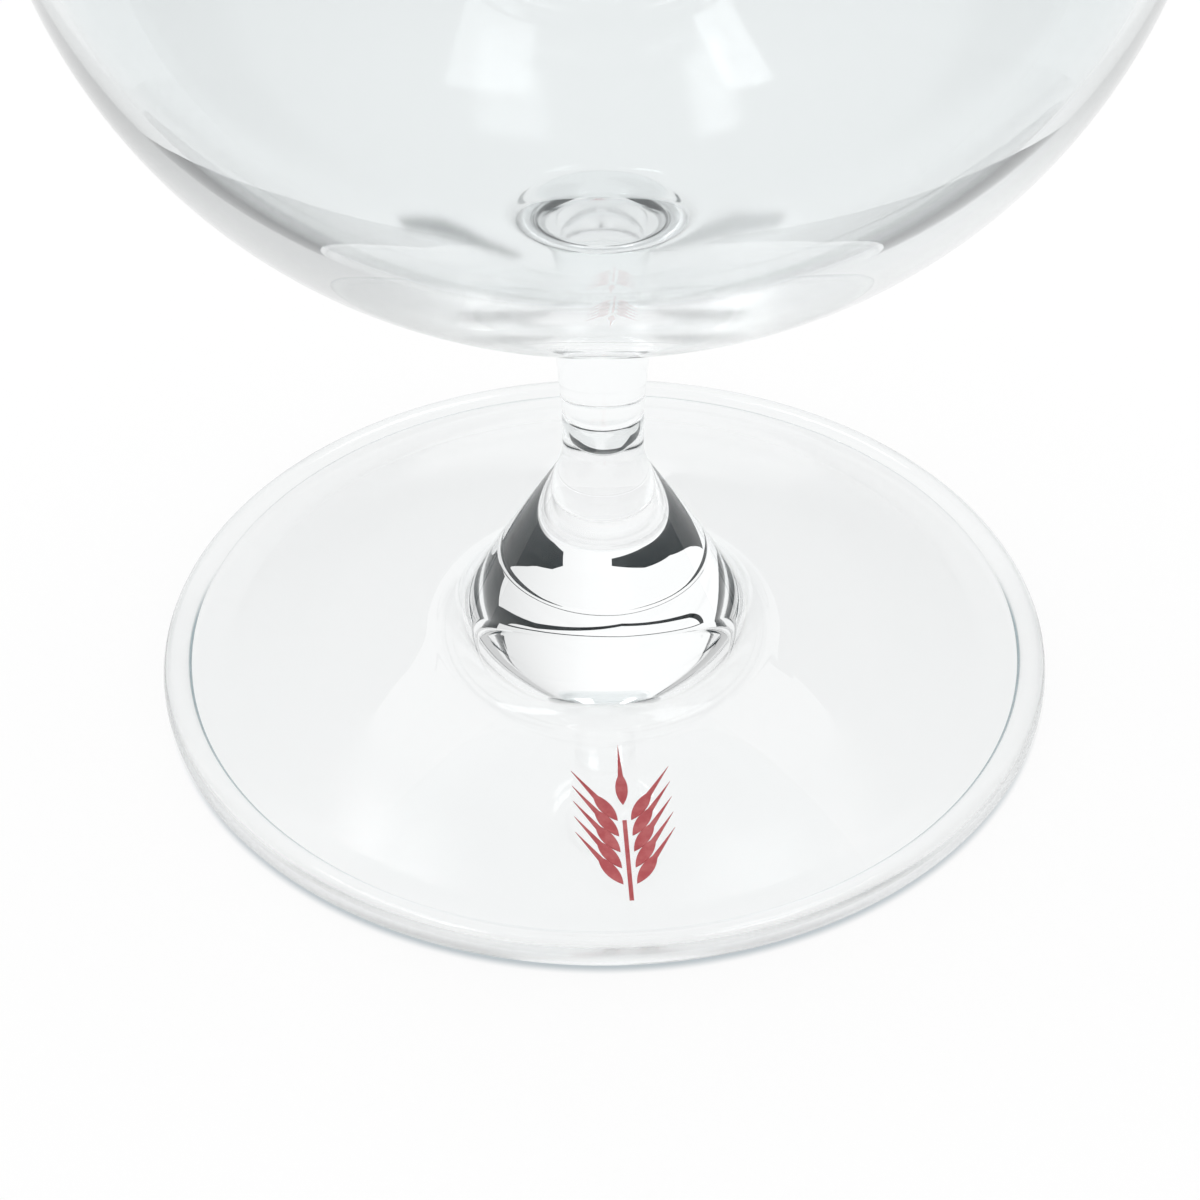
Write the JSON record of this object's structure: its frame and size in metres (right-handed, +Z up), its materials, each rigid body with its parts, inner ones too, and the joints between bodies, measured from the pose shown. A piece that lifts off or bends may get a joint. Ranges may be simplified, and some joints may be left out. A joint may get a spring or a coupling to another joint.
{
  "type": "lidded tasting glass",
  "caption": "Clear stemmed tasting glass with a round tulip bowl, a short flared stem, a wide thin foot with a red printed ornament, and a loose glass lid with a ball knob.",
  "frame": {"origin": "middle of the flat ring that the foot stands on", "axes": "+Z up along the glass's axis, -Y to the front, where the print on the foot is"},
  "size_m": [0.0704, 0.0704, 0.1435],
  "materials": {
    "clear_glass": "clear, fire-polished",
    "lid_glass": "clear, pressed and fire-polished",
    "red_enamel": "fired screen print"
  },
  "bodies": {
    "glass": {"foot": "clear_glass", "stem": "clear_glass", "bowl": "clear_glass", "foot_print": "red_enamel"},
    "lid": {"lid_plate": "lid_glass", "lid_knob": "lid_glass"}
  },
  "joints": [
    {"name": "lid_lift", "type": "slide", "parent": "glass", "child": "lid", "axis": [0, 0, 1], "range_m": [0, 0.08]}
  ]
}
